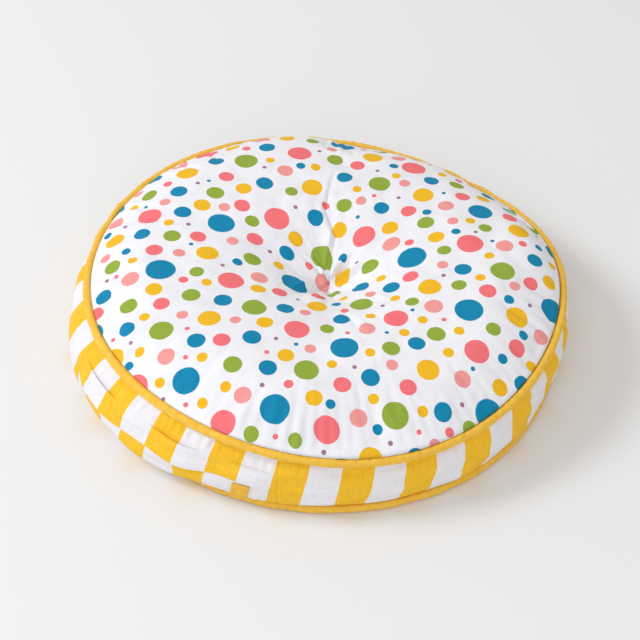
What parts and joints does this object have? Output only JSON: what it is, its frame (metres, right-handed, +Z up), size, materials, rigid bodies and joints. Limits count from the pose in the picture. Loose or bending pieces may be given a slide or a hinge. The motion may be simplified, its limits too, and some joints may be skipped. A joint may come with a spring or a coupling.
{
  "type": "floor cushion",
  "caption": "Round boxed floor cushion with a tufted crowned top, piped seams, a striped side band, a lapped zip placket and an inner pad.",
  "frame": {"origin": "centre of the base, on the floor", "axes": "+Z up through the tuft, -Y towards the front of the cushion, beside the zip placket, +X to its right"},
  "size_m": [0.5756, 0.5756, 0.1195],
  "materials": {
    "dotted_cotton": "white cotton with a print of teal, green, coral, pink and yellow dots",
    "backing_cotton": "plain weave cotton, matt",
    "striped_cotton": "yellow and white stripes, matt",
    "piping_cotton": "yellow cotton cut on the bias, matt",
    "piping_cord": "twisted cotton cord",
    "calico": "unbleached calico, matt",
    "fibre": "polyester fibre filling",
    "zip_tape": "woven polyester tape",
    "zip_nylon": "nylon monofilament, satin",
    "zip_metal": "plated die-cast metal, satin",
    "twine": "waxed upholstery twine"
  },
  "bodies": {
    "cushion": {"top_panel": "dotted_cotton", "bottom_panel": "backing_cotton", "side_band": "striped_cotton", "zip_lap": "striped_cotton", "zip_underlap": "striped_cotton", "placket_end_patch": "striped_cotton", "top_piping_cover": "piping_cotton", "bottom_piping_cover": "piping_cotton", "top_piping_cord": "piping_cord", "bottom_piping_cord": "piping_cord", "inner_cover_top": "calico", "inner_cover_bottom": "calico", "filling": "fibre", "zip_tape_upper": "zip_tape", "zip_tape_lower": "zip_tape", "zip_coil_upper": "zip_nylon", "zip_coil_lower": "zip_nylon", "zip_stop_open_end": "zip_nylon", "zip_stop_closed_end": "zip_nylon", "tuft_twine": "twine", "tuft_knot": "twine"},
    "slider": {"zip_slider": "zip_metal"},
    "pull": {"zip_pull": "zip_metal"}
  },
  "joints": [
    {"name": "slider_travel", "type": "hinge", "parent": "cushion", "child": "slider", "pos_m": [0, 0, 0.05096], "axis": [0, 0, 1], "range_deg": [-52.44, 0]},
    {"name": "pull_swing", "type": "hinge", "parent": "slider", "child": "pull", "pos_m": [-0.06374, -0.27539, 0.05096], "axis": [0, 0, 1], "range_deg": [0, 120], "deforming": ["zip_lap"]}
  ]
}
